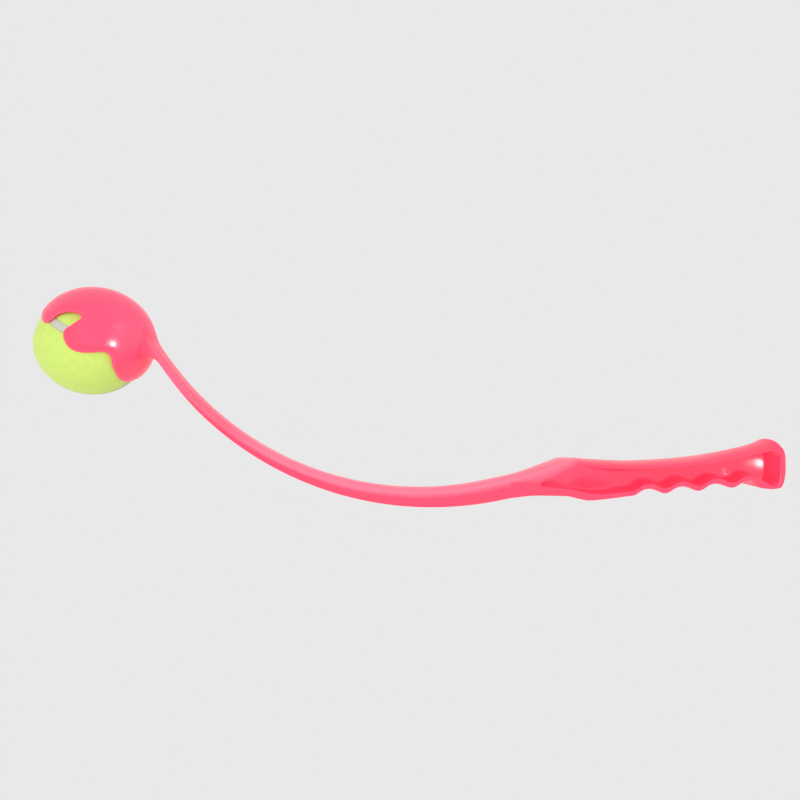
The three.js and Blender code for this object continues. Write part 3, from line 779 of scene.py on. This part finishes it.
def build_cup(material):
    """The cup's wall: rings spread from its back to the scalloped rim, whose edge is a quarter round."""
    turn, polar = rim_line()
    step_turn = (np.roll(turn, -1) - np.roll(turn, 1) + math.pi) % (2 * math.pi) - math.pi
    step = np.stack([step_turn * np.sin(polar), np.roll(polar, -1) - np.roll(polar, 1)])
    out_polar, out_turn = np.array([step[0], -step[1]]) / np.linalg.norm(step, axis=0)
    flat_turn = np.linspace(-math.pi, math.pi, RIM_POINTS, endpoint=False)

    def layer(radius, proud, share, pull):
        """Rings: share of the way to the rim, whose edge is pulled back by a distance over the surface."""
        share, pull = np.reshape(share, (-1, 1)), np.reshape(pull, (-1, 1))
        p = (polar - out_polar * pull / radius) * share
        t = lerp(flat_turn, turn - out_turn * pull / radius / np.sin(polar), share * share)
        left = np.clip(polar * (1 - share) * radius / RIM_THINNING_LENGTH, 0, 1)
        thin = RIM_THINNING * (1 - left) ** 2 if radius == cup_outer else 0.0
        return cup_place(radius, proud, p, t, thin)

    near_rim = [0.94, 0.955, 0.965, 0.975, 0.985, 0.993, 1.0]
    shares = np.concatenate([[0.02], np.linspace(0.05, 0.92, 56), near_rim])
    outside = layer(cup_outer, outer_proud, shares, RIM_ROUND)
    outside = blend_with_neck(outside.reshape(-1, 3)).reshape(outside.shape)
    inside = layer(cup_inner, BALL_PROUD, shares[::-1], 0.05)
    round_turn = np.linspace(0, math.pi / 2, 9)[1:]
    reach = RIM_ROUND * (1 - np.sin(round_turn))
    mix = RIM_SHARPNESS * (1 - np.cos(round_turn))[:, None, None]
    edge = lerp(layer(cup_outer, outer_proud, 1, reach), layer(cup_inner, BALL_PROUD, 1, reach), mix)
    tips = [
        cup_place(radius, proud, np.zeros(()), np.zeros(()))
        for radius, proud in ((cup_outer, outer_proud), (cup_inner, BALL_PROUD))
    ]
    # A painted highlight, a paler pink, on the rim's round edge, with half as much on the ring before it
    highlight_tint = np.zeros((len(outside) + len(edge) + len(inside), RIM_POINTS))
    highlight_tint[len(outside) - 2] = RIM_HIGHLIGHT * 0.5
    highlight_tint[len(outside) - 1 : len(outside) + len(edge)] = RIM_HIGHLIGHT
    return tube("launcher_cup", np.vstack([outside, edge, inside]), tips, material, painted_highlight=highlight_tint)


def ball_turn():
    """The ball's turn in its cup: about x, then y, then z, as one matrix for rows of points."""
    (cx, cy, cz), (sx, sy, sz) = np.cos(np.radians(BALL_TURNS)), np.sin(np.radians(BALL_TURNS))
    rx = np.array([[1, 0, 0], [0, cx, -sx], [0, sx, cx]])
    ry = np.array([[cy, 0, sy], [0, 1, 0], [-sy, 0, cy]])
    rz = np.array([[cz, -sz, 0], [sz, cz, 0], [0, 0, 1]])
    return (rx @ ry @ rz).T


def seam_direction(t):
    """The seam on the unit sphere: x and y are a first and a third harmonic, z is a second one."""
    a, b = SEAM_WAVE, 1 - SEAM_WAVE
    d = np.stack([
        a * np.cos(t) + b * np.cos(3 * t),
        a * np.sin(t) - b * np.sin(3 * t),
        2 * math.sqrt(a * b) * np.sin(2 * t),
    ], 1)
    return d / np.linalg.norm(d, axis=1)[:, None]


def beside_seam(t, aside):
    """The seam's line moved over the sphere, by a distance at the ball's surface, towards the +Z panel."""
    here = seam_direction(t)
    across = np.cross(here, seam_direction(t + 1e-3) - seam_direction(t - 1e-3))
    across /= np.linalg.norm(across, axis=1)[:, None]
    angle = aside / BALL_RADIUS
    return here * math.cos(angle) + across * math.sin(angle)


def build_felt(name, flip, material):
    """One dog-bone panel: rings from its middle to the seam, its edge curling down over the last millimetre.

    A ring is the seam's edge line with its angle from +Z scaled down. The other panel is turned half round x.
    """
    edge = beside_seam(np.linspace(0, 2 * math.pi, 360, endpoint=False), SEAM_WIDTH / 2 + SEAM_GAP)
    inner = BALL_RADIUS - FELT_THICKNESS
    shares = np.concatenate([np.linspace(0.03, 0.94, 30), FELT_EDGE_SHARES])
    drops = np.concatenate([np.zeros(30), FELT_EDGE_DROPS])
    polar, turn = shares[:, None] * np.arccos(edge[:, 2]), np.arctan2(edge[:, 1], edge[:, 0])
    rays = np.stack([np.sin(polar) * np.cos(turn), np.sin(polar) * np.sin(turn), np.cos(polar)], -1)
    rings = np.vstack([rays * (BALL_RADIUS - drops)[:, None, None], rays[::-1] * inner])
    place = ball_turn() * (np.array([[1], [-1], [-1]]) if flip else 1)
    tips = [np.array([0, 0, radius]) @ place + ball_centre for radius in (BALL_RADIUS, inner)]
    return tube(name, rings @ place + ball_centre, tips, material)


def build_seam(material):
    """The line of rubber cement between the panels: a flat band with rounded shoulders, all the way round."""
    t = np.linspace(0, 2 * math.pi, 480, endpoint=False)
    half, outer, inner = SEAM_WIDTH / 2, BALL_RADIUS - SEAM_RECESS, BALL_RADIUS - FELT_THICKNESS
    profile = [(side * half, outer + rise) for side, rise in SEAM_PROFILE]
    profile += [(half, inner), (0, inner), (-half, inner)]
    rings = np.stack([beside_seam(t, aside) * radius for aside, radius in profile])
    rings = rings @ ball_turn() + ball_centre
    faces = grid_faces(*rings.shape[:2], closed=True)
    return make_mesh("ball_seam_band", rings.reshape(-1, 3), faces, np.empty((0, 3), int), material)


# Materials


class Socket:
    """A node socket or a number that can be added or multiplied from either side, or taken from a number."""

    def __init__(self, tree, value):
        self.tree, self.value = tree, value

    def math(self, kind, other):
        """One Math node that works on this value and another."""
        return node(self.tree, "ShaderNodeMath", settings={"operation": kind}, _0=self, _1=other)

    def __add__(self, other):
        return self.math("ADD", other)

    def __rsub__(self, other):
        return Socket(self.tree, other).math("SUBTRACT", self)

    def __mul__(self, other):
        return self.math("MULTIPLY", other)

    __radd__, __rmul__ = __add__, __mul__


def plug(tree, target, item):
    """Sets a socket to a number or a colour, or links another socket to it."""
    value = item.value if isinstance(item, Socket) else item
    if isinstance(value, bpy.types.NodeSocket):
        tree.links.new(value, target)
    else:
        target.default_value = value


def node(tree, kind, out=0, settings=None, **inputs):
    """Any node: its settings, its inputs by name (Word_Word) or number (_0), and the wanted output."""
    made = tree.nodes.new(kind)
    for key, value in (settings or {}).items():
        setattr(made, key, value)
    for key, item in inputs.items():
        plug(tree, made.inputs[int(key[1:]) if key[0] == "_" else key.replace("_", " ")], item)
    return Socket(tree, made.outputs[out])


def grain(tree, scale, detail, roughness):
    """Noise that is fixed to the piece."""
    place = node(tree, "ShaderNodeTexCoord", out="Object")
    return node(tree, "ShaderNodeTexNoise", Vector=place, Scale=scale, Detail=detail, Roughness=roughness)


def mix_colours(tree, share, first, second):
    """Two colours mixed by a share. On a Mix node, colours are the inputs 6 and 7 and the output 2."""
    return node(tree, "ShaderNodeMix", out=2, settings={"data_type": "RGBA"}, _0=share, _6=first, _7=second)


def bump(tree, height, strength, distance):
    """A normal for small bumps: a height from 0 to 1 times the distance, weakened by the strength."""
    return node(tree, "ShaderNodeBump", Strength=strength, Distance=distance, Height=height)


def srgb(r, g, b):
    """A linear colour from one in steps of 255, by the sRGB curve."""
    shares = np.array([r, g, b]) / 255
    linear = np.where(shares <= 0.04045, shares / 12.92, ((shares + 0.055) / 1.055) ** 2.4)
    return *map(float, linear), 1.0


def material(name, looks):
    """A new material. Looks are its shader's sockets, each with a value that is the same all over it."""
    made = bpy.data.materials.new(name)
    made.use_nodes = True
    shader = made.node_tree.nodes["Principled BSDF"]
    for socket, value in looks.items():
        shader.inputs[socket].default_value = value
    return made, made.node_tree, shader


def pink_plastic():
    """Glossy plastic with a trace of waviness. A steady pink glow, painted light in place of its fluorescent
    pigment, lifts its shade.
    """
    made, tree, shader = material("launcher_pink", {
        # A painted glow: a steady pink that lifts the shade all over
        "Emission Color": PINK_PAINTED_GLOW,
        "Emission Strength": 0.2,
        "Subsurface Weight": 0.25,
        "Subsurface Radius": (1.0, 0.15, 0.25),
        "Subsurface Scale": 0.002,
        "IOR": 1.49,
    })
    # An attribute of the mesh mixes in a paler pink: the painted highlight on the arm's top and the cup's rim
    painted_highlight = node(tree, "ShaderNodeAttribute", out="Fac", settings={"attribute_name": "painted_highlight"})
    plug(tree, shader.inputs["Base Color"], mix_colours(tree, painted_highlight, PINK, HIGHLIGHT_PINK))
    plug(tree, shader.inputs["Roughness"], 0.2 + grain(tree, 900.0, 2.0, 0.6) * 0.04)
    plug(tree, shader.inputs["Normal"], bump(tree, grain(tree, 28.0, 1.0, 0.4), 0.12, 0.0006))
    return made


def felt_cloth():
    """Fuzzy felt: tufts, fine hairs and broad patches of noise mix two greens. A sheen lights its edges."""
    made, tree, shader = material("felt", {
        "Roughness": 1.0,
        "Specular IOR Level": 0.1,
        "Sheen Weight": 0.6,
        "Sheen Roughness": 0.5,
        "Sheen Tint": (0.85, 1.0, 0.5, 1),
    })
    fine = grain(tree, 1500.0, 3.0, 0.7)
    tuft = grain(tree, 320.0, 3.0, 0.6)
    patch = grain(tree, 60.0, 2.0, 0.5)
    tone = tuft * 0.5 + fine * 0.3 + patch * 0.2
    plug(tree, shader.inputs["Base Color"], mix_colours(tree, tone, FELT_DARK, FELT_LIGHT))
    plug(tree, shader.inputs["Normal"], bump(tree, tuft * 0.6 + fine * 0.4, 0.9, 0.0007))
    return made


def dull_rubber(name, colour, roughness):
    """Matt rubber of one colour with a fine grain."""
    made, tree, shader = material(name, {"Base Color": colour})
    fine = grain(tree, 600.0, 3.0, 0.6)
    plug(tree, shader.inputs["Roughness"], roughness - 0.1 + fine * 0.2)
    plug(tree, shader.inputs["Normal"], bump(tree, fine, 0.4, 0.0002))
    return made


pink = pink_plastic()
felt = felt_cloth()
rubber = dull_rubber("core_rubber", srgb(160, 160, 140), 0.7)
cement = dull_rubber("seam_cement", srgb(190, 190, 176), 0.8)

neck = Neck()
arm = build_arm(pink)
handle = build_handle(pink)
cup = build_cup(pink)
felts = [build_felt("felt_cover_a", False, felt), build_felt("felt_cover_b", True, felt)]
seam = build_seam(cement)

# The flexing place on the arm's middle line. The arm's mesh stays fixed where it was built
flex_place = arm_place(flex_travel, 0, 0)
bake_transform(arm)
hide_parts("arm")
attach(cup, "cup")
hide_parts("cup")
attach(handle, "handle")
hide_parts("handle")
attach(felts[0], "ball")
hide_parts("felt_panel_a")
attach(felts[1], "ball")
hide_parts("felt_panel_b")
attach(seam, "ball")
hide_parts("ball_seam")
for name in ("rubber_core_a", "rubber_core_b"):
    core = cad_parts[name]
    core.data.materials.clear()
    core.data.materials.append(rubber)


# Camera, backdrop and light

FOCAL_LENGTH = 494.4 / 800  # as a share of the picture's width
SENSOR_WIDTH = 36

camera_data = bpy.data.cameras.new("camera")
camera_data.sensor_width = SENSOR_WIDTH
camera_data.lens = FOCAL_LENGTH * SENSOR_WIDTH
camera_data.clip_start = 0.01
camera = add_object("camera", camera_data)
camera.location = (-0.178, -0.3297, 0.048)
camera.rotation_euler = (math.radians(90), 0, 0)
bpy.context.scene.camera = camera


def build_floor():
    """A wide floor that glows evenly, so it stays one plain grey without a shadow or a horizon."""
    paint, _, _ = material("backdrop_paint", {
        "Base Color": (0, 0, 0, 1),
        "Specular IOR Level": 0.0,
        "Emission Color": srgb(STUDIO_GREY, STUDIO_GREY, STUDIO_GREY),
        "Emission Strength": 1.0,
    })
    mesh = bpy.data.meshes.new("floor")
    mesh.from_pydata([(-6, -6, -1.2), (6, -6, -1.2), (6, 6, -1.2), (-6, 6, -1.2)], [], [(0, 1, 2, 3)])
    mesh.materials.append(paint)
    return add_object("floor", mesh)


floor = build_floor()


def lamp(name, place, target, size, power, lights=None, beam=180, diffuse=True, glossy=True):
    """A round lamp aimed at its target, its beam in degrees. With lights it shines on that piece alone."""
    data = bpy.data.lights.new(name, "AREA")
    data.shape = "DISK"
    data.size = size
    data.energy = power
    data.spread = math.radians(beam)
    obj = add_object(name, data)
    obj.location = place
    obj.rotation_euler = (Vector(target) - Vector(place)).to_track_quat("-Z", "Y").to_euler()
    obj.visible_diffuse, obj.visible_glossy = diffuse, glossy
    if lights is not None:
        lit = bpy.data.collections.new(name + "_lights")
        lit.objects.link(lights)
        obj.light_linking.receiver_collection = lit
    return obj


def studio_world():
    """An even grey behind the object. All other rays see a sky that is brighter above and to the right."""
    world = bpy.data.worlds.new("studio")
    bpy.context.scene.world = world
    world.use_nodes = True
    tree = world.node_tree
    place = node(tree, "ShaderNodeTexCoord")
    height = node(tree, "ShaderNodeSeparateXYZ", out="Z", Vector=place)
    right = node(tree, "ShaderNodeSeparateXYZ", out="X", Vector=place)
    soft = {"interpolation_type": "SMOOTHSTEP"}
    rise = node(tree, "ShaderNodeMapRange", settings=soft, Value=height,
                From_Min=0.0, From_Max=1.0, To_Min=SKY_HORIZON, To_Max=SKY_TOP)
    side = node(tree, "ShaderNodeMapRange", settings=soft, Value=right,
                From_Min=0.6, From_Max=0.95, To_Min=0.0, To_Max=SKY_RIGHT)
    seen = node(tree, "ShaderNodeLightPath")
    grey = srgb(STUDIO_GREY, STUDIO_GREY, STUDIO_GREY)[0]
    background = tree.nodes["Background"]
    background.inputs["Color"].default_value = (1, 1, 1, 1)
    plug(tree, background.inputs["Strength"], seen * grey + (1 - seen) * (rise + side))


bpy.context.scene.view_settings.view_transform = "Standard"
lamp("cup_light", (0.08, -0.3, -0.0275), (-0.35, 0, 0.08), size=0.085, power=1.35, lights=cup, diffuse=False)
lamp("pocket_light", (0.058, -0.47, 0.0), (0.04, 0, 0), size=0.05, power=0.019, beam=24,
     lights=handle, diffuse=False)
lamp("side_light", (1.2, -0.5, 0.75), (-0.35, 0, 0.08), size=0.6, power=13.0, lights=cup, glossy=False)
lamp("front_light", (-0.2, -1.9, 0.15), (-0.15, 0, 0.0), size=1.2, power=20, glossy=False)
studio_world()
